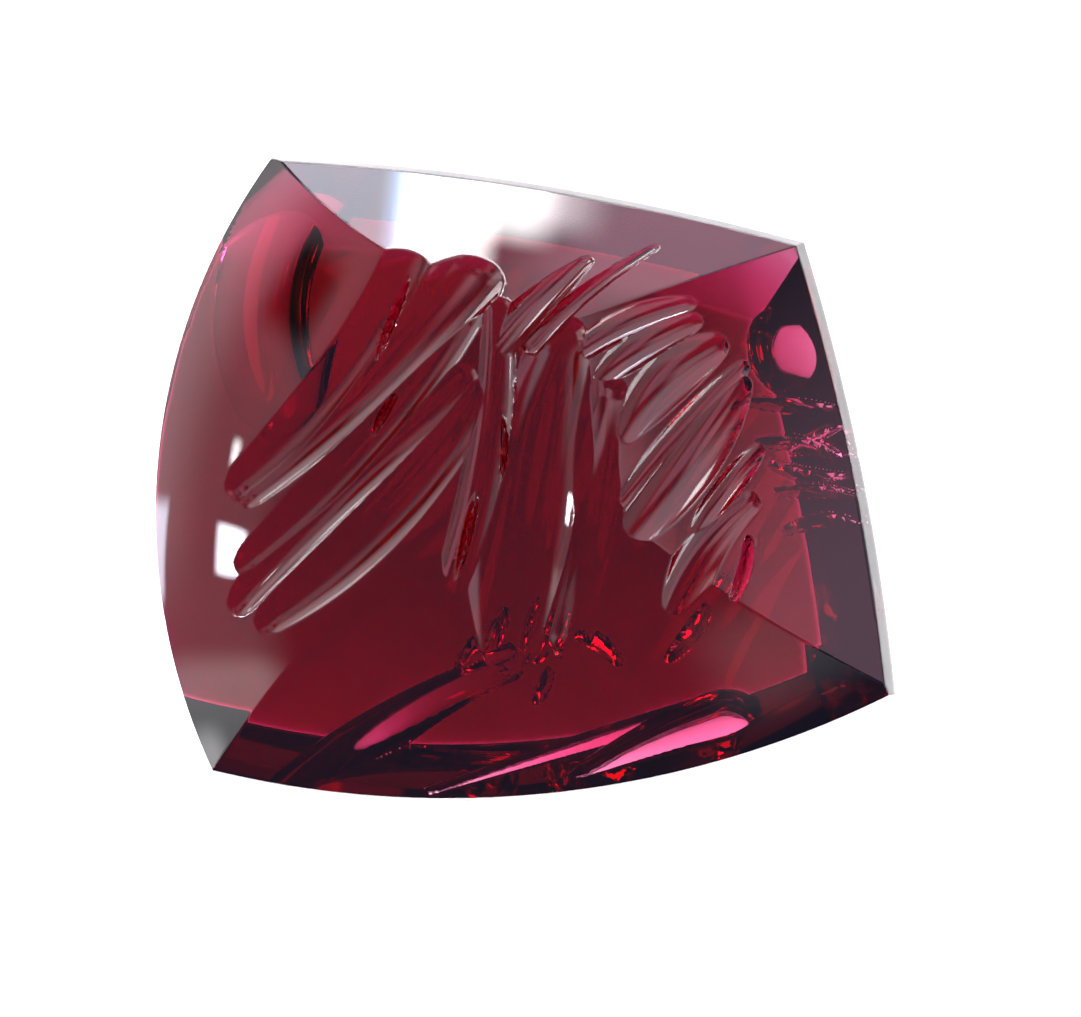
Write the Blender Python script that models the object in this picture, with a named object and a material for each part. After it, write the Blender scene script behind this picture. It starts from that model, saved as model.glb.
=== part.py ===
# A freeform garnet, cut and polished from one crystal: a flat table to rest on, a bevel that widens up
# to a four-sided outline with bowed sides, a narrow girdle and four domed crown faces that meet in ridges.
# Hollow flutes and narrow slits are carved across the crown, and others into the underside.
# The stone rests on its table, with +Z up. Its longest side runs along X.

import math

import bmesh
import bpy
from mathutils import Matrix, Vector

MM = 0.001

# Heights, up from the table
GIRDLE_TOP = 1.8        # the upright band round the outline, at the back and the right
CROWN_RISE = 0.42       # the narrow bevel between the girdle and the crown faces there
CROWN_START = GIRDLE_TOP + CROWN_RISE
CROWN_INSET = 0.24      # the narrow bevel's width in plan
EDGED_SIDES = ("back", "right")

# The lower bevel on each side: how far in from the outline it starts, and how high it rises
LOWER_BEVELS = {
    "back": (2.15, 1.50),
    "right": (2.00, 1.50),
    "front": (2.00, 1.75),
    "left": (0.52, 1.50),
}

# Outline corners in plan
CORNERS = {
    "back_left": (-5.50, 7.31),
    "back_right": (6.15, 5.31),
    "front_right": (8.05, -4.94),
    "front_left": (-6.75, -6.69),
}

# Each side: its two corners, how far its middle bows outward, how steep its crown face starts
# in degrees, the radius that face's section follows, and the steps round the circle it is turned on
SIDES = {
    "back": ("back_left", "back_right", 0.33, 36.0, 30.0, 180),
    "right": ("back_right", "front_right", 0.25, 26.0, 40.0, 180),
    "front": ("front_right", "front_left", 1.36, 30.5, 21.0, 120),
    "left": ("front_left", "back_left", 1.88, 32.0, 14.0, 96),
}
FACE_STEPS = 12

# Flutes in the crown. Each is the path of a round tool through three places, and each place is
# its X, its Y, the depth of the cut below the uncut crown there and the radius of the tool.
# The left ones fan out from the front left, the right ones cross the right face beside each other.
CROWN_FLUTES = {
    "left_1": ((-6.45, -0.50, 0.03, 1.0), (-4.55, 1.45, 0.11, 1.6), (-2.70, 4.50, 0.05, 1.4)),
    "left_2": ((-6.20, -0.75, 0.03, 0.8), (-4.10, 1.00, 0.15, 1.1), (-1.15, 4.25, 0.12, 1.2)),
    "left_3": ((-6.20, -2.30, 0.03, 0.7), (-3.85, -0.20, 0.17, 1.0), (-1.50, 2.90, 0.16, 0.9)),
    "left_4": ((-6.35, -3.15, 0.04, 0.7), (-4.30, -1.10, 0.13, 0.9), (-1.50, 1.35, 0.14, 1.0)),
    "left_5": ((-5.75, -3.65, 0.03, 0.8), (-3.45, -1.80, 0.15, 1.3), (-1.15, 1.00, 0.16, 1.1)),
    "middle_1": ((-0.60, 3.10, 0.12, 0.45), (-0.75, 0.10, 0.26, 0.6), (-1.45, -3.15, 0.02, 0.7)),
    "middle_2": ((-0.30, -4.80, 0.02, 1.6), (0.15, -0.55, 0.22, 2.0), (0.75, 2.25, 0.30, 1.0)),
    "middle_3": ((1.05, -4.55, 0.02, 1.1), (1.65, -1.70, 0.13, 1.3), (2.05, 1.25, 0.08, 0.9)),
    "back_1": ((-0.60, 2.10, 0.18, 0.4), (0.35, 3.35, 0.30, 0.4), (1.35, 4.50, 0.02, 0.25)),
    "back_2": ((0.20, 2.25, 0.30, 0.25), (1.40, 3.60, 0.26, 0.2), (2.85, 4.90, 0.03, 0.12)),
    "right_1": ((1.20, 2.05, 0.10, 0.3), (2.30, 2.85, 0.16, 0.4), (3.65, 3.45, 0.03, 0.3)),
    "right_2": ((1.75, 1.55, 0.06, 0.35), (2.65, 2.35, 0.18, 0.5), (3.80, 3.05, 0.03, 0.35)),
    "right_3": ((2.35, 0.35, 0.03, 0.55), (3.10, 1.45, 0.19, 0.8), (4.35, 2.55, 0.04, 0.6)),
    "right_4": ((2.25, -1.20, 0.03, 0.35), (3.25, 0.15, 0.15, 0.4), (4.85, 2.10, 0.02, 0.3)),
    "right_5": ((2.55, -1.90, 0.04, 0.8), (3.55, -0.50, 0.26, 0.85), (4.90, 1.70, 0.02, 0.5)),
    "right_6": ((3.80, -1.75, 0.03, 0.3), (4.45, -0.70, 0.20, 0.3), (5.15, 0.20, 0.03, 0.25)),
    "right_7": ((3.25, -3.55, 0.03, 0.5), (4.00, -2.25, 0.17, 0.65), (5.05, -1.00, 0.03, 0.5)),
}

# Flutes in the underside: the same, but the third number is the height of the hollow's roof
# above the table. The first three run out at the front and the fourth at the right.
LOWER_FLUTES = {
    "under_1": ((-5.30, -7.30, 2.00, 0.6), (-2.35, -4.55, 0.42, 0.5), (-0.40, -3.60, 0.26, 0.35)),
    "under_2": ((-2.00, -6.95, 1.48, 0.25), (0.80, -5.60, 0.56, 0.3), (3.60, -4.60, 0.34, 0.3)),
    "under_3": ((1.20, -6.55, 1.25, 0.45), (2.90, -5.60, 0.95, 0.8), (4.20, -5.15, 0.95, 1.05)),
    "under_4": ((9.20, 2.60, 1.15, 1.35), (6.90, 2.85, 1.10, 1.35), (5.55, 2.95, 0.85, 1.3)),
    "under_5": ((-4.75, 5.80, 0.50, 1.4), (-5.25, 4.05, 0.50, 1.4), (-4.95, 1.90, 0.35, 1.4)),
}

# Slits in the crown, cut by a pointed tool: X, Y, depth, and the half width of the slit
# where it is as deep as it gets in the middle
CROWN_SLITS = {
    "slit_1": ((-3.25, 1.95, 0.16, 0.12), (-2.85, 3.05, 0.36, 0.14), (-2.45, 4.10, 0.12, 0.12)),
    "slit_2": ((-3.30, 0.30, 0.18, 0.12), (-3.05, 0.80, 0.38, 0.14), (-2.75, 1.25, 0.16, 0.12)),
    "slit_3": ((-1.50, -3.00, 0.06, 0.13), (-1.20, -1.80, 0.42, 0.20), (-0.95, -0.60, 0.16, 0.15)),
    "slit_4": ((-0.60, -1.00, 0.10, 0.10), (-0.45, -0.10, 0.34, 0.10), (-0.55, 0.90, 0.16, 0.10)),
    "slit_5": ((4.50, -3.25, 0.10, 0.14), (4.75, -2.55, 0.30, 0.15), (4.85, -1.85, 0.10, 0.13)),
}

# Slits in the underside, with the height of the roof in place of the depth
LOWER_SLITS = {
    "loop_1": ((-1.35, -3.55, 0.60, 0.22), (-0.95, -3.10, 0.85, 0.27), (-0.55, -2.70, 0.60, 0.22)),
    "loop_2": ((0.70, -2.50, 0.60, 0.16), (0.45, -2.95, 0.85, 0.20), (0.20, -3.40, 0.60, 0.16)),
    "loop_3": ((1.15, -3.00, 0.50, 0.15), (1.55, -3.15, 0.80, 0.18), (1.90, -3.50, 0.50, 0.13)),
    "loop_4": ((3.75, -2.40, 0.55, 0.16), (3.45, -2.90, 0.85, 0.20), (3.00, -3.40, 0.50, 0.15)),
    "loop_5": ((0.45, -3.75, 0.50, 0.12), (0.35, -4.00, 0.70, 0.14), (0.20, -4.35, 0.45, 0.12)),
    "fan_1": ((7.20, 1.45, 1.35, 0.18), (5.80, 1.60, 1.00, 0.22), (4.35, 1.65, 0.50, 0.18)),
    "fan_2": ((7.00, 1.15, 1.30, 0.20), (6.30, 1.00, 1.10, 0.26), (5.40, 0.55, 0.80, 0.18)),
    "fan_3": ((6.60, 0.45, 1.20, 0.18), (5.60, 0.75, 0.95, 0.24), (4.60, 0.75, 0.55, 0.16)),
    "fan_4": ((7.60, 0.10, 1.40, 0.18), (6.20, 0.00, 1.00, 0.24), (4.90, 0.25, 0.55, 0.18)),
    "fan_5": ((7.70, -0.60, 1.40, 0.22), (6.50, -0.35, 1.10, 0.22), (5.00, -0.35, 0.55, 0.16)),
    "fan_6": ((7.20, -1.15, 1.30, 0.16), (6.20, -0.95, 1.00, 0.22), (5.20, -1.20, 0.55, 0.16)),
}

PATH_STEPS = 12         # sections along a flute
TOOL_STEPS = 32         # corners round the tool
CAP_ANGLES = (72, 48, 24)
SLIT_STEPS = 8          # corners across the pointed tool
SLIT_PATH_STEPS = 6
SLIT_REACH = 1.25       # how far the pointed tool opens, in half widths, so that it clears the stone
SLIT_CAPS = (1.2, 0.9, 0.5)

GARNET_COLOUR = (0.24, 0.006, 0.022, 1.0)
GARNET_ROUGHNESS = 0.03
GARNET_IOR = 1.76


# The centre in plan and the radius of the arc a side follows
def side_arc(name):
    first, second, bow = SIDES[name][:3]
    start = Vector(CORNERS[first])
    end = Vector(CORNERS[second])
    half = (end - start) / 2
    radius = (half.length_squared + bow * bow) / (2 * bow)
    outward = Vector((-half.y, half.x)).normalized()
    return start + half + outward * (bow - radius), radius


# The height of the uncut crown faces over a place in plan
def crown_height(x, y):
    heights = []
    for name, (_, _, _, steep, curve, _) in SIDES.items():
        slope = math.radians(steep)
        centre, radius = side_arc(name)
        inset = radius - (Vector((x, y)) - centre).length - CROWN_INSET
        along = max(curve * math.sin(slope) - inset, 0.0)
        rise = math.sqrt(max(curve * curve - along * along, 0.0)) - curve * math.cos(slope)
        heights.append(CROWN_START + rise)
    return min(heights)


# Insets and heights of one side's section, from below the table to the flat of its dome
def side_section(name):
    steep, curve = SIDES[name][3:5]
    slope = math.radians(steep)
    foot, rim = LOWER_BEVELS[name]
    section = [(foot * 2, -rim), (0.0, rim)]
    start = slope
    if name in EDGED_SIDES:
        section.append((0.0, GIRDLE_TOP))
    else:
        start = math.asin(math.sin(slope) + CROWN_INSET / curve)
    for step in range(FACE_STEPS + 1):
        angle = start * (1 - step / FACE_STEPS)
        inset = CROWN_INSET + curve * (math.sin(slope) - math.sin(angle))
        height = CROWN_START + curve * (math.cos(angle) - math.cos(slope))
        section.append((inset, height))
    return section


# Close the open ends, scale the shape from millimetres and make it an object
def finish_object(bm, name):
    open_edges = [edge for edge in bm.edges if edge.is_boundary]
    bmesh.ops.holes_fill(bm, edges=open_edges, sides=0)
    bmesh.ops.scale(bm, vec=(MM, MM, MM), verts=bm.verts)
    bmesh.ops.recalc_face_normals(bm, faces=bm.faces)
    mesh = bpy.data.meshes.new(name)
    bm.to_mesh(mesh)
    bm.free()
    made = bpy.data.objects.new(name, mesh)
    bpy.context.scene.collection.objects.link(made)
    return made


# One side's whole section turned about the centre of its arc
def make_turned_side(side, name):
    centre, radius = side_arc(side)
    bm = bmesh.new()
    section = []
    for inset, height in side_section(side):
        section.append(bm.verts.new((centre.x + radius - inset, centre.y, height)))
    edges = [bm.edges.new(pair) for pair in zip(section, section[1:])]
    bmesh.ops.spin(
        bm,
        geom=section + edges,
        cent=(centre.x, centre.y, 0.0),
        axis=(0.0, 0.0, 1.0),
        dvec=(0.0, 0.0, 0.0),
        angle=2 * math.pi,
        steps=SIDES[side][5],
        use_merge=True,
    )
    return finish_object(bm, name)


# Points of a tool with its width, on a smooth curve through three places
def tool_path(places, steps):
    first, middle, last = [Vector(place) for place in places]
    before = (middle.xy - first.xy).length
    after = (last.xy - middle.xy).length
    share = before / (before + after)
    ends = first * (1 - share) ** 2 + last * share ** 2
    pull = (middle - ends) / (2 * share * (1 - share))
    path = []
    for step in range(steps + 1):
        s = step / steps
        path.append(first * (1 - s) ** 2 + pull * (2 * s * (1 - s)) + last * s * s)
    return path


# Where a round tool's section stands at each step of its path, with a rounded end before and after
def round_stations(path):
    last = len(path) - 1
    middle = []
    for i, point in enumerate(path):
        way = (path[min(i + 1, last)].xyz - path[max(i - 1, 0)].xyz).normalized()
        middle.append((point.xyz, way, point.w))
    first_place, first_way, first_radius = middle[0]
    last_place, last_way, last_radius = middle[last]
    before = []
    after = []
    for degrees in CAP_ANGLES:
        reach = math.sin(math.radians(degrees))
        width = math.cos(math.radians(degrees))
        before.append((first_place - first_way * first_radius * reach, first_way, first_radius * width))
        after.insert(0, (last_place + last_way * last_radius * reach, last_way, last_radius * width))
    stations = []
    for place, way, radius in before + middle + after:
        turn = way.to_track_quat('Z', 'Y').to_matrix().to_4x4()
        stations.append(Matrix.Translation(place) @ turn @ Matrix.Scale(radius, 4))
    return stations


# Where a pointed tool's section stands at each step, with an end that draws in before and after.
# The section is a parabola that has risen by deep at the half width. Deep is negative for a cut
# from below.
def pointed_stations(path, deep):
    last = len(path) - 1
    middle = []
    for i, point in enumerate(path):
        way = (path[min(i + 1, last)].xy - path[max(i - 1, 0)].xy).to_3d().normalized()
        middle.append((point.xyz, way, point.w, 0.0))
    first_place, first_way, first_half, _ = middle[0]
    last_place, last_way, last_half, _ = middle[last]
    before = []
    after = []
    for share in SLIT_CAPS:
        before.append((first_place - first_way * first_half * share, first_way, first_half, share))
        after.insert(0, (last_place + last_way * last_half * share, last_way, last_half, share))
    stations = []
    for place, way, half, share in before + middle + after:
        opening = math.sqrt(SLIT_REACH ** 2 - share ** 2)
        lift = Matrix.Translation((0.0, 0.0, deep * share ** 2))
        turn = way.to_track_quat('Y', 'Z').to_matrix().to_4x4()
        size = Matrix.Diagonal((half * opening, 1.0, deep * opening ** 2, 1.0))
        stations.append(Matrix.Translation(place) @ lift @ turn @ size)
    return stations


# Carry a ring of edges from station to station
def sweep(bm, ring, stations):
    edges = list({edge for vert in ring for edge in vert.link_edges})
    for here, there in zip(stations, stations[1:]):
        grown = bmesh.ops.extrude_edge_only(bm, edges=edges)["geom"]
        ring = [item for item in grown if isinstance(item, bmesh.types.BMVert)]
        edges = [item for item in grown if isinstance(item, bmesh.types.BMEdge) and item.is_boundary]
        bmesh.ops.transform(bm, matrix=there @ here.inverted(), verts=ring)


# The body a round tool sweeps along its path
def make_round_tool(name, places):
    stations = round_stations(tool_path(places, PATH_STEPS))
    bm = bmesh.new()
    ring = bmesh.ops.create_circle(
        bm, cap_ends=False, segments=TOOL_STEPS, radius=1.0, matrix=stations[0]
    )["verts"]
    sweep(bm, ring, stations)
    return finish_object(bm, name)


# The body a pointed tool sweeps along its path
def make_pointed_tool(name, places, deep):
    stations = pointed_stations(tool_path(places, SLIT_PATH_STEPS), deep)
    bm = bmesh.new()
    section = []
    for step in range(SLIT_STEPS + 1):
        across = step / SLIT_STEPS * 2 - 1
        section.append(bm.verts.new((across, 0.0, across * across)))
    for pair in zip(section, section[1:] + section[:1]):
        bm.edges.new(pair)
    bmesh.ops.transform(bm, matrix=stations[0], verts=section)
    sweep(bm, section, stations)
    return finish_object(bm, name)


# A block whose top is the flat the stone rests on
def make_table_cutter():
    width = 28.0
    depth = 4.0
    bm = bmesh.new()
    place = Matrix.Translation((0.0, 0.0, -depth / 2)) @ Matrix.Diagonal((width, width, depth, 1.0))
    bmesh.ops.create_cube(bm, size=1.0, matrix=place)
    return finish_object(bm, "table_cutter")


# Use another object on the stone, and keep it as a hidden wire object
def apply_boolean(target, other, operation):
    other.hide_render = True
    other.display_type = 'WIRE'
    step = target.modifiers.new(other.name, 'BOOLEAN')
    step.operation = operation
    step.solver = 'EXACT'
    step.object = other


def crystal_material():
    material = bpy.data.materials.new("garnet_crystal")
    material.use_nodes = True
    material.diffuse_color = GARNET_COLOUR
    shader = material.node_tree.nodes["Principled BSDF"]
    shader.inputs["Base Color"].default_value = GARNET_COLOUR
    shader.inputs["Roughness"].default_value = GARNET_ROUGHNESS
    shader.inputs["Metallic"].default_value = 0.0
    shader.inputs["IOR"].default_value = GARNET_IOR
    return material


for old in list(bpy.data.objects):
    bpy.data.objects.remove(old, do_unlink=True)

# The stone starts as the front side's turned body, and the other three sides trim it
garnet = make_turned_side("front", "garnet")
for side in ("left", "right", "back"):
    apply_boolean(garnet, make_turned_side(side, side + "_side"), 'INTERSECT')
apply_boolean(garnet, make_table_cutter(), 'DIFFERENCE')

# Flutes across the crown, then those along the underside
for name, places in CROWN_FLUTES.items():
    centres = [(x, y, crown_height(x, y) - depth + radius, radius) for x, y, depth, radius in places]
    apply_boolean(garnet, make_round_tool(name, centres), 'DIFFERENCE')
for name, places in LOWER_FLUTES.items():
    centres = [(x, y, roof - radius, radius) for x, y, roof, radius in places]
    apply_boolean(garnet, make_round_tool(name, centres), 'DIFFERENCE')

# Slits in the crown, then those in the underside, each as deep as its middle place
for name, places in CROWN_SLITS.items():
    tips = [(x, y, crown_height(x, y) - depth, half) for x, y, depth, half in places]
    apply_boolean(garnet, make_pointed_tool(name, tips, places[1][2]), 'DIFFERENCE')
for name, places in LOWER_SLITS.items():
    apply_boolean(garnet, make_pointed_tool(name, places, -places[1][2]), 'DIFFERENCE')

garnet.data.materials.append(crystal_material())
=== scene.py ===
# Dresses the carved garnet: a finely meshed, see-through crystal, the floor, the light and camera
import math

import bmesh
import bpy
import numpy as np
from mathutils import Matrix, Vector


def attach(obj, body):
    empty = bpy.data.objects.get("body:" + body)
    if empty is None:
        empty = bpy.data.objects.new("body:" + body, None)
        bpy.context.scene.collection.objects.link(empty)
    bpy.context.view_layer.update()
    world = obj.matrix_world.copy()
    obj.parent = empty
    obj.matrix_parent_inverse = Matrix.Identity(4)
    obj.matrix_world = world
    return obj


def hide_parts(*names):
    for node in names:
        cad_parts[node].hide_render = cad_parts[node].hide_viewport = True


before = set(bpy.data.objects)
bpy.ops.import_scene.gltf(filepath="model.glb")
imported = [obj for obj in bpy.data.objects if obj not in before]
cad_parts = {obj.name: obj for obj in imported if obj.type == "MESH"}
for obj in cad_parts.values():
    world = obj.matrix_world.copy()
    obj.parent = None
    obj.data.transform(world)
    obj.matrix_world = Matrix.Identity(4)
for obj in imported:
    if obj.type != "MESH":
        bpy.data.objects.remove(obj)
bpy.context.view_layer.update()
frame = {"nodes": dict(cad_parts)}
mm = 0.001
print("frame loaded:", ", ".join(frame["nodes"]))

# The stone in millimetres, from the flat table it rests on. Same shape as the solid.
stoneShape = {
    "tableRise": 1.5,       # from the table up to the girdle
    "girdle": 0.3,          # upright band round the outline
    # how far each lower bevel climbs, and how far inside the outline it starts
    "bevelTops": {"back": 1.5, "right": 1.5, "front": 1.75, "left": 1.5},
    "tableInsets": {"back": 2.15, "right": 2.00, "front": 2.00, "left": 0.52},
    # narrow bevel between the girdle and the crown
    "crownRise": 0.42,
    "crownInset": 0.24,
    "bevelledSides": ("back", "right"),
    "corners": {
        "backLeft": (-5.50, 7.31),
        "backRight": (6.15, 5.31),
        "frontRight": (8.05, -4.94),
        "frontLeft": (-6.75, -6.69),
    },
    # corners, bow of the side, slope in degrees where the face starts, radius of its section
    "sides": {
        "back": ("backLeft", "backRight", 0.33, 36.0, 30.0),
        "right": ("backRight", "frontRight", 0.25, 26.0, 40.0),
        "front": ("frontRight", "frontLeft", 1.36, 30.5, 21.0),
        "left": ("frontLeft", "backLeft", 1.88, 32.0, 14.0),
    },
    "softness": 0.005,      # how far the polish rounds the ridges
    "slitReach": 1.25,      # how far a slit's walls are followed, in half widths
    "toolReach": 0.998,     # share of a round tool's squared radius that cuts
    "unreached": 99.0,      # height, or depth, where a cut doesn't reach
}

# How finely the stone is meshed, with lengths in millimetres
meshSteps = {
    "gridSteps": 118,
    "pathSteps": 96,
    "rimWidth": 0.32,       # band along the outline that is split once
    "firstGap": 0.04,       # faces are split where a second surface comes this near
    "secondGap": 0.015,
    "weldDistance": 0.0001,
    "sharpAngle": 32.0,
}

# Three places on each flute: X, Y, depth below the uncut crown, radius of the tool
crownFlutes = {
    "left1": ((-6.45, -0.50, 0.03, 1.0), (-4.55, 1.45, 0.11, 1.6), (-2.70, 4.50, 0.05, 1.4)),
    "left2": ((-6.20, -0.75, 0.03, 0.8), (-4.10, 1.00, 0.15, 1.1), (-1.15, 4.25, 0.12, 1.2)),
    "left3": ((-6.20, -2.30, 0.03, 0.7), (-3.85, -0.20, 0.17, 1.0), (-1.50, 2.90, 0.16, 0.9)),
    "left4": ((-6.35, -3.15, 0.04, 0.7), (-4.30, -1.10, 0.13, 0.9), (-1.50, 1.35, 0.14, 1.0)),
    "left5": ((-5.75, -3.65, 0.03, 0.8), (-3.45, -1.80, 0.15, 1.3), (-1.15, 1.00, 0.16, 1.1)),
    "middle1": ((-0.60, 3.10, 0.12, 0.45), (-0.75, 0.10, 0.26, 0.6), (-1.45, -3.15, 0.02, 0.7)),
    "middle2": ((-0.30, -4.80, 0.02, 1.6), (0.15, -0.55, 0.22, 2.0), (0.75, 2.25, 0.30, 1.0)),
    "middle3": ((1.05, -4.55, 0.02, 1.1), (1.65, -1.70, 0.13, 1.3), (2.05, 1.25, 0.08, 0.9)),
    "back1": ((-0.60, 2.10, 0.18, 0.4), (0.35, 3.35, 0.30, 0.4), (1.35, 4.50, 0.02, 0.25)),
    "back2": ((0.20, 2.25, 0.30, 0.25), (1.40, 3.60, 0.26, 0.2), (2.85, 4.90, 0.03, 0.12)),
    "right1": ((1.20, 2.05, 0.10, 0.3), (2.30, 2.85, 0.16, 0.4), (3.65, 3.45, 0.03, 0.3)),
    "right2": ((1.75, 1.55, 0.06, 0.35), (2.65, 2.35, 0.18, 0.5), (3.80, 3.05, 0.03, 0.35)),
    "right3": ((2.35, 0.35, 0.03, 0.55), (3.10, 1.45, 0.19, 0.8), (4.35, 2.55, 0.04, 0.6)),
    "right4": ((2.25, -1.20, 0.03, 0.35), (3.25, 0.15, 0.15, 0.4), (4.85, 2.10, 0.02, 0.3)),
    "right5": ((2.55, -1.90, 0.04, 0.8), (3.55, -0.50, 0.26, 0.85), (4.90, 1.70, 0.02, 0.5)),
    "right6": ((3.80, -1.75, 0.03, 0.3), (4.45, -0.70, 0.20, 0.3), (5.15, 0.20, 0.03, 0.25)),
    "right7": ((3.25, -3.55, 0.03, 0.5), (4.00, -2.25, 0.17, 0.65), (5.05, -1.00, 0.03, 0.5)),
}

# The same below the stone, with the height of the hollow's roof in place of the depth
lowerFlutes = {
    "under1": ((-5.30, -7.30, 2.00, 0.6), (-2.35, -4.55, 0.42, 0.5), (-0.40, -3.60, 0.26, 0.35)),
    "under2": ((-2.00, -6.95, 1.48, 0.25), (0.80, -5.60, 0.56, 0.3), (3.60, -4.60, 0.34, 0.3)),
    "under3": ((1.20, -6.55, 1.25, 0.45), (2.90, -5.60, 0.95, 0.8), (4.20, -5.15, 0.95, 1.05)),
    "under4": ((9.20, 2.60, 1.15, 1.35), (6.90, 2.85, 1.10, 1.35), (5.55, 2.95, 0.85, 1.3)),
    "under5": ((-4.75, 5.80, 0.50, 1.4), (-5.25, 4.05, 0.50, 1.4), (-4.95, 1.90, 0.35, 1.4)),
}

# Narrow slits with pointed ends: X, Y, depth, and the half width where the slit is deepest
crownSlits = {
    "slit1": ((-3.25, 1.95, 0.16, 0.12), (-2.85, 3.05, 0.36, 0.14), (-2.45, 4.10, 0.12, 0.12)),
    "slit2": ((-3.30, 0.30, 0.18, 0.12), (-3.05, 0.80, 0.38, 0.14), (-2.75, 1.25, 0.16, 0.12)),
    "slit3": ((-1.50, -3.00, 0.06, 0.13), (-1.20, -1.80, 0.42, 0.20), (-0.95, -0.60, 0.16, 0.15)),
    "slit4": ((-0.60, -1.00, 0.10, 0.10), (-0.45, -0.10, 0.34, 0.10), (-0.55, 0.90, 0.16, 0.10)),
    "slit5": ((4.50, -3.25, 0.10, 0.14), (4.75, -2.55, 0.30, 0.15), (4.85, -1.85, 0.10, 0.13)),
}

# The same from below, with the height of the roof in place of the depth
lowerSlits = {
    "loop1": ((-1.35, -3.55, 0.60, 0.22), (-0.95, -3.10, 0.85, 0.27), (-0.55, -2.70, 0.60, 0.22)),
    "loop2": ((0.70, -2.50, 0.60, 0.16), (0.45, -2.95, 0.85, 0.20), (0.20, -3.40, 0.60, 0.16)),
    "loop3": ((1.15, -3.00, 0.50, 0.15), (1.55, -3.15, 0.80, 0.18), (1.90, -3.50, 0.50, 0.13)),
    "loop4": ((3.75, -2.40, 0.55, 0.16), (3.45, -2.90, 0.85, 0.20), (3.00, -3.40, 0.50, 0.15)),
    "loop5": ((0.45, -3.75, 0.50, 0.12), (0.35, -4.00, 0.70, 0.14), (0.20, -4.35, 0.45, 0.12)),
    "fan1": ((7.20, 1.45, 1.35, 0.18), (5.80, 1.60, 1.00, 0.22), (4.35, 1.65, 0.50, 0.18)),
    "fan2": ((7.00, 1.15, 1.30, 0.20), (6.30, 1.00, 1.10, 0.26), (5.40, 0.55, 0.80, 0.18)),
    "fan3": ((6.60, 0.45, 1.20, 0.18), (5.60, 0.75, 0.95, 0.24), (4.60, 0.75, 0.55, 0.16)),
    "fan4": ((7.60, 0.10, 1.40, 0.18), (6.20, 0.00, 1.00, 0.24), (4.90, 0.25, 0.55, 0.18)),
    "fan5": ((7.70, -0.60, 1.40, 0.22), (6.50, -0.35, 1.10, 0.22), (5.00, -0.35, 0.55, 0.16)),
    "fan6": ((7.20, -1.15, 1.30, 0.16), (6.20, -0.95, 1.00, 0.22), (5.20, -1.20, 0.55, 0.16)),
}


# Centre and radius of the arc that a side of the outline follows
def sideArc(name):
    first, second, bow = stoneShape["sides"][name][:3]
    start = Vector(stoneShape["corners"][first])
    end = Vector(stoneShape["corners"][second])
    half = (end - start) / 2
    radius = (half.length_squared + bow * bow) / (2 * bow)
    outward = Vector((-half.y, half.x)).normalized()
    return start + half + outward * (bow - radius), radius


sideArcs = {name: sideArc(name) for name in stoneShape["sides"]}
crownStart = stoneShape["tableRise"] + stoneShape["girdle"] + stoneShape["crownRise"]


# How far a place is inside one side of the outline
def insetFrom(name, x, y):
    centre, radius = sideArcs[name]
    return radius - np.hypot(x - centre.x, y - centre.y)


# Heights of the uncut crown at places in plan: a row for each side's face and each narrow bevel
def crownFaces(x, y):
    rows = []
    girdleTop = stoneShape["tableRise"] + stoneShape["girdle"]
    for name, (_, _, _, steep, curve) in stoneShape["sides"].items():
        slope = math.radians(steep)
        inset = insetFrom(name, x, y)
        along = np.maximum(curve * math.sin(slope) - (inset - stoneShape["crownInset"]), 0.0)
        rise = np.sqrt(np.maximum(curve * curve - along * along, 0.0)) - curve * math.cos(slope)
        rows.append(crownStart + rise)
        if name in stoneShape["bevelledSides"]:
            rows.append(girdleTop + inset * stoneShape["crownRise"] / stoneShape["crownInset"])
    return np.array(rows)


# Points on a smooth curve through three places, each with the tool's radius or half width
def flutePath(places):
    first, middle, last = [np.array(place) for place in places]
    before = math.dist(first[:2], middle[:2])
    after = math.dist(middle[:2], last[:2])
    share = before / (before + after)
    ends = first * (1 - share) ** 2 + last * share ** 2
    pull = (middle - ends) / (2 * share * (1 - share))
    s = np.linspace(0, 1, meshSteps["pathSteps"] + 1)[:, None]
    return first * (1 - s) ** 2 + pull * (2 * s * (1 - s)) + last * s * s


# Which places lie in the box round a path
def nearPath(path, reach, x, y):
    low = path[:, :2].min(axis=0) - reach
    high = path[:, :2].max(axis=0) + reach
    return (x > low[0]) & (x < high[0]) & (y > low[1]) & (y < high[1])


# For each step of a path: its height and radius beside the places, and their squared distance
def alongPath(path, px, py):
    for here, there in zip(path, path[1:]):
        step = there - here
        length = step[0] ** 2 + step[1] ** 2
        s = np.clip(((px - here[0]) * step[0] + (py - here[1]) * step[1]) / length, 0, 1)
        away = (px - here[0] - s * step[0]) ** 2 + (py - here[1] - s * step[1]) ** 2
        yield here[2] + s * step[2], here[3] + s * step[3], away


# Height of the hollow that a round tool leaves: side -1 cuts from above, 1 from below
def fluteSurface(path, x, y, side):
    heights = np.full(x.shape, -side * stoneShape["unreached"])
    near = nearPath(path, path[:, 3].max(), x, y)
    found = heights[near] * side
    for middle, radius, away in alongPath(path, x[near], y[near]):
        wall = side * middle + np.sqrt(np.maximum(radius * radius - away, 0))
        hit = away < radius * radius * stoneShape["toolReach"]
        found = np.where(hit, np.maximum(found, wall), found)
    heights[near] = found * side
    return heights


# Height of a slit's walls, which lean together to a point: side as above
def slitSurface(path, deep, x, y, side):
    heights = np.full(x.shape, -side * stoneShape["unreached"])
    near = nearPath(path, path[:, 3].max() * stoneShape["slitReach"], x, y)
    found = heights[near] * side
    for tip, half, away in alongPath(path, x[near], y[near]):
        found = np.maximum(found, side * tip - deep * away / half ** 2)
    heights[near] = found * side
    return heights


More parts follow.
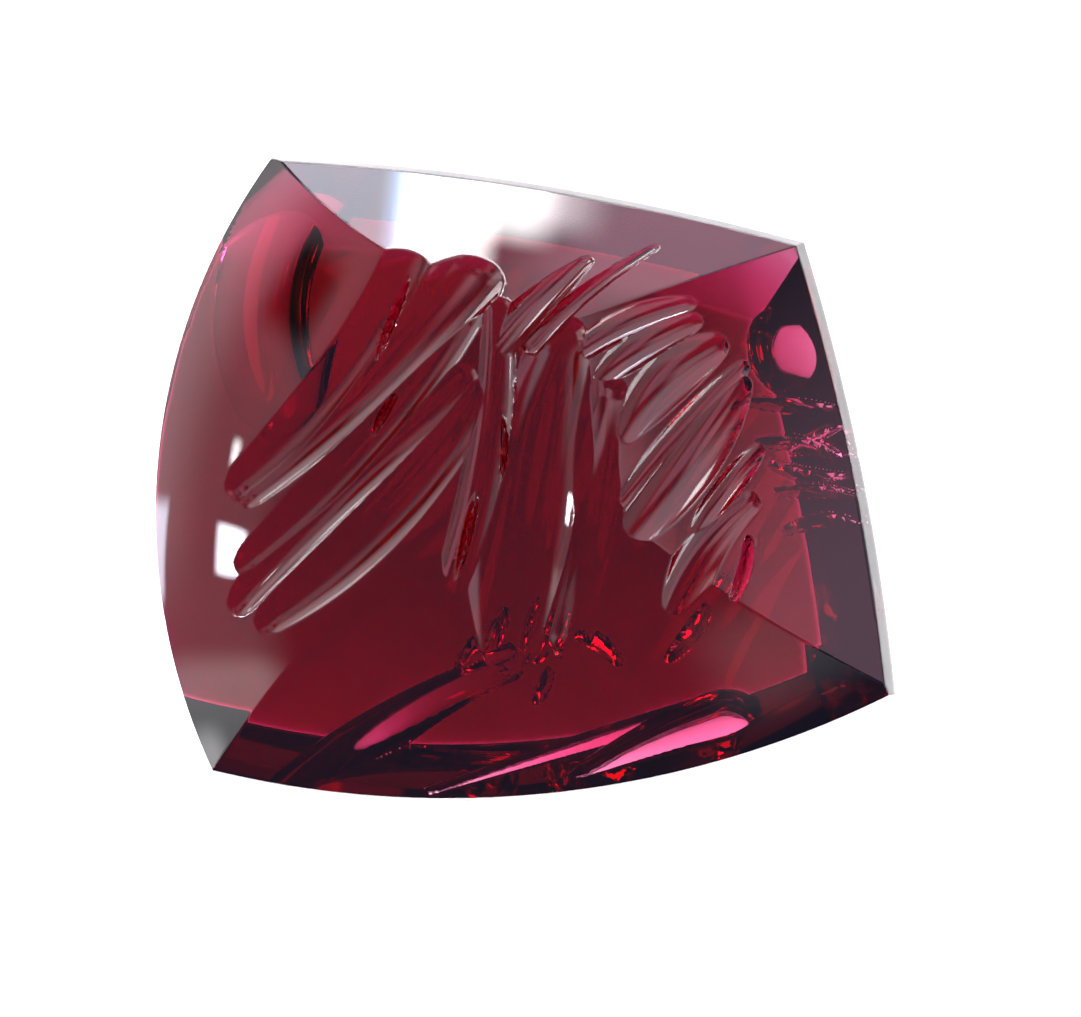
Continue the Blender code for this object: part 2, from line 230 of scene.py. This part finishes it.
# Height of the uncut crown at one place
def crownAt(x, y):
    return float(crownFaces(np.float64(x), np.float64(y)).min())


# Paths of the tools' centres
def crownPaths():
    paths = []
    for places in crownFlutes.values():
        centres = [(x, y, crownAt(x, y) - depth + radius, radius) for x, y, depth, radius in places]
        paths.append(flutePath(centres))
    return paths


def lowerPaths():
    paths = []
    for places in lowerFlutes.values():
        centres = [(x, y, roof - radius, radius) for x, y, roof, radius in places]
        paths.append(flutePath(centres))
    return paths


# Paths of the slits' tips, each with the slit's depth in its middle
def crownSlitPaths():
    paths = []
    for places in crownSlits.values():
        tips = [(x, y, crownAt(x, y) - depth, half) for x, y, depth, half in places]
        paths.append((flutePath(tips), places[1][2]))
    return paths


def lowerSlitPaths():
    return [(flutePath(places), places[1][2]) for places in lowerSlits.values()]


topPaths = crownPaths()
underPaths = lowerPaths()
topSlits = crownSlitPaths()
underSlits = lowerSlitPaths()


# Heights of all that bounds the stone from above, one row for each surface
def topRows(x, y):
    rows = list(crownFaces(x, y))
    for path in topPaths:
        rows.append(fluteSurface(path, x, y, -1))
    for path, deep in topSlits:
        rows.append(slitSurface(path, deep, x, y, -1))
    return np.array(rows)


# The same from below, turned upside down so that the lowest row counts here too
def underRows(x, y):
    rows = [np.zeros(x.shape)]
    for name, inset in stoneShape["tableInsets"].items():
        top = stoneShape["bevelTops"][name]
        rows.append(top - insetFrom(name, x, y) * top / inset)
    for path in underPaths:
        rows.append(fluteSurface(path, x, y, 1))
    for path, deep in underSlits:
        rows.append(slitSurface(path, deep, x, y, 1))
    return -np.array(rows)


# A soft minimum, so ridges come out slightly rounded as polishing leaves them
def softLowest(rows):
    k = stoneShape["softness"]
    lowest = rows.min(axis=0)
    return lowest - k * np.log(np.exp(np.minimum(-(rows - lowest) / k, 0.0)).sum(axis=0))


def topHeight(x, y):
    return softLowest(topRows(x, y))


def underHeight(x, y):
    return -softLowest(underRows(x, y))


# Which surface is lowest at each place, and how near the next one comes
def crease(rows):
    two = np.partition(rows, 1, axis=0)[:2]
    return rows.argmin(axis=0), two[1] - two[0]


# A point on a side's arc, a share of the way from its first corner to its second
def arcPoint(name, share):
    first, second = stoneShape["sides"][name][:2]
    centre, radius = sideArcs[name]
    start = Vector(stoneShape["corners"][first]) - centre
    end = Vector(stoneShape["corners"][second]) - centre
    turn = -start.angle_signed(end)
    angle = math.atan2(start.y, start.x) + turn * share
    return centre + Vector((math.cos(angle), math.sin(angle))) * radius


# A point of the unit square placed in the outline, between its four arcs
def outlinePlace(u, v):
    back = arcPoint("back", u)
    front = arcPoint("front", 1 - u)
    left = arcPoint("left", v)
    right = arcPoint("right", 1 - v)
    corners = stoneShape["corners"]
    flat = (
        Vector(corners["frontLeft"]) * (1 - u) * (1 - v)
        + Vector(corners["frontRight"]) * u * (1 - v)
        + Vector(corners["backLeft"]) * (1 - u) * v
        + Vector(corners["backRight"]) * u * v
    )
    return back * v + front * (1 - v) + left * (1 - u) + right * u - flat


def planOf(verts):
    places = np.array([vert.co[:2] for vert in verts])
    return places[:, 0], places[:, 1]


# Split the faces of a sheet where its surfaces meet. The first pass splits the rim and the
# flutes as well, the flutes being the rows from firstFlute on
def refineSheet(bm, rowsAt, gap, firstFlute=None):
    bm.verts.index_update()
    x, y = planOf(bm.verts)
    which, nearness = crease(rowsAt(x, y))
    insets = np.array([insetFrom(name, x, y) for name in stoneShape["sides"]])
    rim = insets.min(axis=0) < meshSteps["rimWidth"]
    chosen = set()
    for face in bm.faces:
        ids = [vert.index for vert in face.verts]
        kinds = which[ids]
        if kinds.min() != kinds.max() or nearness[ids].min() < gap:
            chosen.update(face.edges)
        elif firstFlute is not None and (kinds.max() >= firstFlute or rim[ids].any()):
            chosen.update(face.edges)
    edges = [edge for edge in bm.edges if edge in chosen]   # always in the same order
    if firstFlute is None:
        edges = [edge for edge in edges if not edge.is_boundary]
    bmesh.ops.subdivide_edges(bm, edges=edges, cuts=1, use_grid_fill=True)


def makeSheet(rowsAt, heightAt, firstFlute):
    bm = bmesh.new()
    steps = meshSteps["gridSteps"]
    bmesh.ops.create_grid(bm, x_segments=steps, y_segments=steps, size=1.0)
    for vert in bm.verts:
        vert.co.xy = outlinePlace((vert.co.x + 1) / 2, (vert.co.y + 1) / 2)
    refineSheet(bm, rowsAt, meshSteps["firstGap"], firstFlute)
    refineSheet(bm, rowsAt, meshSteps["secondGap"])
    x, y = planOf(bm.verts)
    for vert, height in zip(bm.verts, heightAt(x, y)):
        vert.co.z = height
    return bm


# The whole stone: crown sheet, girdle wall and underside sheet joined along their borders
def makeStone():
    uncut = len(stoneShape["sides"]) + len(stoneShape["bevelledSides"])
    bm = makeSheet(topRows, topHeight, uncut)
    print("crown:", len(bm.faces), "faces")
    below = makeSheet(underRows, underHeight, math.inf)
    print("underside:", len(below.faces), "faces")
    bmesh.ops.reverse_faces(below, faces=below.faces)
    lower = bpy.data.meshes.new("lower")
    below.to_mesh(lower)
    below.free()
    border = [edge for edge in bm.edges if edge.is_boundary]
    grown = bmesh.ops.extrude_edge_only(bm, edges=border)["geom"]
    wall = [item for item in grown if isinstance(item, bmesh.types.BMVert)]
    x, y = planOf(wall)
    for vert, height in zip(wall, underHeight(x, y)):
        vert.co.z = height
    bm.from_mesh(lower)
    bpy.data.meshes.remove(lower)
    bmesh.ops.remove_doubles(bm, verts=bm.verts, dist=meshSteps["weldDistance"])
    bmesh.ops.scale(bm, vec=(mm, mm, mm), verts=bm.verts)
    bmesh.ops.triangulate(bm, faces=bm.faces)
    bmesh.ops.recalc_face_normals(bm, faces=bm.faces)
    openEdges = [edge for edge in bm.edges if not edge.is_manifold]
    print("stone:", len(bm.faces), "triangles,", len(openEdges), "open edges")
    mesh = bpy.data.meshes.new("garnetCrystal")
    bm.to_mesh(mesh)
    bm.free()
    mesh.shade_smooth()
    mesh.set_sharp_from_angle(angle=math.radians(meshSteps["sharpAngle"]))
    made = bpy.data.objects.new("garnetCrystal", mesh)
    bpy.context.scene.collection.objects.link(made)
    return made


crystalLook = {
    "ior": 1.76,
    "roughness": 0.0,
    "absorbColour": (0.835, 0.12, 0.46, 1.0),
    "absorbDensity": 1700.0,
}


def crystalMaterial():
    material = bpy.data.materials.new("garnetCrystal")
    material.use_nodes = True
    nodes = material.node_tree.nodes
    links = material.node_tree.links
    shader = nodes["Principled BSDF"]
    shader.inputs["Base Color"].default_value = (1.0, 1.0, 1.0, 1.0)
    shader.inputs["Roughness"].default_value = crystalLook["roughness"]
    shader.inputs["Metallic"].default_value = 0.0
    shader.inputs["IOR"].default_value = crystalLook["ior"]
    shader.inputs["Transmission Weight"].default_value = 1.0
    volume = nodes.new("ShaderNodeVolumeAbsorption")
    volume.inputs["Color"].default_value = crystalLook["absorbColour"]
    volume.inputs["Density"].default_value = crystalLook["absorbDensity"]
    links.new(volume.outputs["Volume"], nodes["Material Output"].inputs["Volume"])
    return material


garnet = makeStone()
garnet.data.materials.append(crystalMaterial())
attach(garnet, "root")
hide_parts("garnet")
print("stone dressed")

# The white floor, in metres, a hair below the stone's table
floorLook = {"size": 3.0, "drop": 0.00002, "colour": (0.93, 0.93, 0.93, 1.0), "roughness": 0.9}


def makeFloor():
    bm = bmesh.new()
    bmesh.ops.create_grid(bm, x_segments=1, y_segments=1, size=floorLook["size"] / 2)
    bmesh.ops.translate(bm, vec=(0, 0, -floorLook["drop"]), verts=bm.verts)
    mesh = bpy.data.meshes.new("floor")
    bm.to_mesh(mesh)
    bm.free()
    made = bpy.data.objects.new("floor", mesh)
    bpy.context.scene.collection.objects.link(made)
    material = bpy.data.materials.new("whitePaper")
    material.use_nodes = True
    shader = material.node_tree.nodes["Principled BSDF"]
    shader.inputs["Base Color"].default_value = floorLook["colour"]
    shader.inputs["Roughness"].default_value = floorLook["roughness"]
    shader.inputs["Specular IOR Level"].default_value = 0.0
    mesh.materials.append(material)


makeFloor()

# The room as the stone reflects it: a dim room with bright patches, each given by its azimuth
# (from +Y towards +X), half width and softness, lowest and highest elevation and softness in
# degrees, then radiance and tint
roomLight = {
    "horizon": (0.10, 0.08, 0.16),
    "ceiling": (0.12, 0.10, 0.20),
    "fromElevation": 10.0,
    "toElevation": 60.0,
}
brightPatches = [
    (1.0, 3.0, 0.5, -20.0, 20.0, 4.0, 4.4, (0.97, 0.97, 1.12)),
    (4.0, 0.6, 0.4, -20.0, 20.0, 3.0, 6.0, (0.5, 0.85, 1.3)),
    (4.8, 1.1, 0.35, -20.0, 20.0, 3.0, 11.0, (1.0, 1.0, 1.0)),
    (6.1, 1.0, 0.6, -20.0, 8.5, 2.0, 8.0, (1.0, 1.0, 1.0)),
    (6.9, 1.0, 1.0, -20.0, 6.0, 2.5, 6.0, (1.0, 0.97, 1.0)),
    (17.0, 10.0, 2.0, -20.0, 14.0, 4.0, 1.4, (1.6, 0.9, 1.15)),
    (12.0, 28.0, 12.0, 14.0, 54.0, 8.0, 1.1, (1.1, 1.0, 1.15)),
    (55.0, 14.0, 6.0, 46.0, 60.0, 4.0, 0.8, (1.1, 1.0, 1.15)),
    (75.0, 22.0, 4.0, 3.0, 25.0, 3.0, 0.4, (1.2, 1.0, 1.1)),
    (80.0, 20.0, 6.0, 28.0, 44.0, 3.0, 0.58, (1.8, 1.0, 1.3)),
    (112.0, 14.0, 6.0, 0.0, 42.0, 4.0, 0.8, (1.0, 1.0, 1.1)),
    (142.0, 12.0, 4.0, 44.0, 56.0, 4.0, 0.38, (1.0, 1.0, 1.1)),
    (296.0, 31.0, 4.0, -20.0, 44.0, 5.0, 0.42, (1.0, 1.0, 1.1)),
    (303.0, 24.0, 6.0, 8.0, 24.0, 8.0, 1.2, (1.0, 1.0, 1.0)),
    (315.0, 20.0, 8.0, 42.0, 52.0, 4.0, 0.25, (1.1, 1.0, 1.15)),
    (345.0, 4.5, 2.0, 17.0, 28.0, 2.0, 8.0, (1.0, 1.0, 1.0)),
    (258.0, 13.0, 2.0, 22.0, 44.0, 4.0, 1.2, (1.0, 1.0, 1.0)),
    (257.0, 6.5, 2.0, 20.0, 30.0, 2.5, 2.8, (1.0, 1.0, 1.0)),
    (282.8, 2.6, 0.6, 34.0, 39.5, 1.0, 20.0, (0.95, 0.98, 1.1)),
    (281.8, 4.6, 1.2, 16.0, 23.0, 0.6, 8.0, (0.85, 0.95, 1.15)),
    (293.0, 1.2, 0.8, 34.3, 35.7, 0.8, 14.0, (1.0, 1.0, 1.0)),
    (313.5, 3.0, 2.5, 1.5, 9.0, 3.5, 5.0, (1.0, 1.0, 1.0)),
]
# dark patches have the same places, and then the share of the light that is kept
darkPatches = [
    (310.5, 4.5, 2.0, 30.0, 41.0, 2.5, 0.1),
]
# soft lamps that the polish doesn't mirror: azimuth, elevation, distance and size in metres,
# power in watts, and whether they are seen through the stone
softLamps = [
    (0.0, 90.0, 0.6, 0.5, 4.5, True),
    (180.0, 32.0, 0.6, 0.4, 4.0, False),
    (250.0, 22.0, 0.6, 0.20, 4.0, True),
    (100.0, 18.0, 0.6, 0.24, 5.0, True),
    (212.0, 13.0, 0.6, 0.50, 20.0, False),
    (40.0, 15.0, 0.6, 0.40, 5.0, False),
]


def makeRoom():
    world = bpy.data.worlds.new("room")
    bpy.context.scene.world = world
    world.use_nodes = True
    nodes = world.node_tree.nodes
    links = world.node_tree.links
    background = nodes["Background"]
    direction = nodes.new("ShaderNodeTexCoord").outputs["Generated"]

    def maths(operation, *values):
        node = nodes.new("ShaderNodeMath")
        node.operation = operation
        for socket, value in zip(node.inputs, values):
            if isinstance(value, (int, float)):
                socket.default_value = value
            else:
                links.new(value, socket)
        return node.outputs[0]

    def dot(axis):
        node = nodes.new("ShaderNodeVectorMath")
        node.operation = 'DOT_PRODUCT'
        links.new(direction, node.inputs[0])
        node.inputs[1].default_value = axis
        return node.outputs["Value"]

    def ramp(value, low, high, start, end):
        node = nodes.new("ShaderNodeMapRange")
        node.interpolation_type = 'SMOOTHSTEP'
        links.new(value, node.inputs["Value"])
        node.inputs["From Min"].default_value = math.radians(low)
        node.inputs["From Max"].default_value = math.radians(high)
        node.inputs["To Min"].default_value = start
        node.inputs["To Max"].default_value = end
        return node.outputs["Result"]

    def within(azimuth, half, soft, low, high, edge):
        turn = math.radians(azimuth)
        ahead = dot((math.sin(turn), math.cos(turn), 0.0))
        aside = dot((math.cos(turn), -math.sin(turn), 0.0))
        away = maths('ABSOLUTE', maths('ARCTAN2', aside, ahead))
        return maths('MULTIPLY', ramp(away, half - soft, half + soft, 1.0, 0.0),
                     maths('MULTIPLY', ramp(elevation, low - edge, low + edge, 0.0, 1.0),
                           ramp(elevation, high - edge, high + edge, 1.0, 0.0)))

    def blend(operation, first, second, third=None):
        node = nodes.new("ShaderNodeVectorMath")
        node.operation = operation
        for socket, value in zip(node.inputs, (first, second, third)):
            if isinstance(value, (tuple, list)):
                socket.default_value = value
            elif value is not None:
                links.new(value, socket)
        return node.outputs["Vector"]

    elevation = maths('ARCSINE', dot((0.0, 0.0, 1.0)))
    share = ramp(elevation, roomLight["fromElevation"], roomLight["toElevation"], 1.0, 0.0)
    gain = [low - high for low, high in zip(roomLight["horizon"], roomLight["ceiling"])]
    total = blend('MULTIPLY_ADD', share, gain, roomLight["ceiling"])
    for *place, radiance, tint in brightPatches:
        total = blend('MULTIPLY_ADD', within(*place), [radiance * part for part in tint], total)
    for *place, kept in darkPatches:
        dimming = maths('MULTIPLY_ADD', within(*place), kept - 1.0, 1.0)
        total = blend('MULTIPLY', dimming, total)
    links.new(total, background.inputs["Color"])


makeRoom()


def makeLamp(azimuth, elevation, distance, size, power, seenThrough):
    turn = math.radians(azimuth)
    rise = math.radians(elevation)
    flat = math.cos(rise)
    towards = Vector((math.sin(turn) * flat, math.cos(turn) * flat, math.sin(rise)))
    light = bpy.data.lights.new("softLamp", 'AREA')
    light.shape = 'DISK'
    light.size = size
    light.energy = power
    made = bpy.data.objects.new("softLamp", light)
    made.rotation_mode = 'QUATERNION'
    made.rotation_quaternion = towards.to_track_quat('Z', 'Y')
    made.location = towards * distance
    made.visible_glossy = False
    made.visible_transmission = seenThrough
    bpy.context.scene.collection.objects.link(made)


for lamp in softLamps:
    makeLamp(*lamp)
print("room and lights set")

# Camera at the photograph's angle, in millimetres, with the frame in pixels
cameraLook = {
    "tilt": 15.0,               # degrees from straight above, towards -Y
    "distance": 180.0,
    "aim": (0.0, 0.0, 1.3),
    "photo": (1081, 1017),
    "aimPixel": (525.0, 481.0),
    "stoneWidth": 16.0,
    "stonePixels": 730.0,
    "sensor": 36.0,
    "clipStart": 0.01,          # metres
    "clipEnd": 10.0,
}


def makeCamera():
    tilt = math.radians(cameraLook["tilt"])
    back = Vector((0, -math.sin(tilt), math.cos(tilt)))
    over = Vector((0, math.cos(tilt), math.sin(tilt)))
    pixel = cameraLook["stoneWidth"] / cameraLook["stonePixels"]
    wide, tall = cameraLook["photo"]
    aimX, aimY = cameraLook["aimPixel"]
    shiftX = (wide / 2 - aimX) * pixel
    shiftY = (aimY - tall / 2) * pixel
    place = Vector(cameraLook["aim"]) + back * cameraLook["distance"]
    place += Vector((1, 0, 0)) * shiftX + over * shiftY
    data = bpy.data.cameras.new("camera")
    data.sensor_width = cameraLook["sensor"]
    data.lens = cameraLook["sensor"] * cameraLook["distance"] / (wide * pixel)
    data.clip_start = cameraLook["clipStart"]
    data.clip_end = cameraLook["clipEnd"]
    made = bpy.data.objects.new("camera", data)
    made.rotation_mode = 'QUATERNION'
    made.rotation_quaternion = (-back).to_track_quat('-Z', 'Y')
    made.location = place * mm
    bpy.context.scene.collection.objects.link(made)
    bpy.context.scene.camera = made


makeCamera()
bpy.context.scene.view_settings.view_transform = 'Standard'
bpy.context.scene.view_settings.look = 'None'
print("camera set")
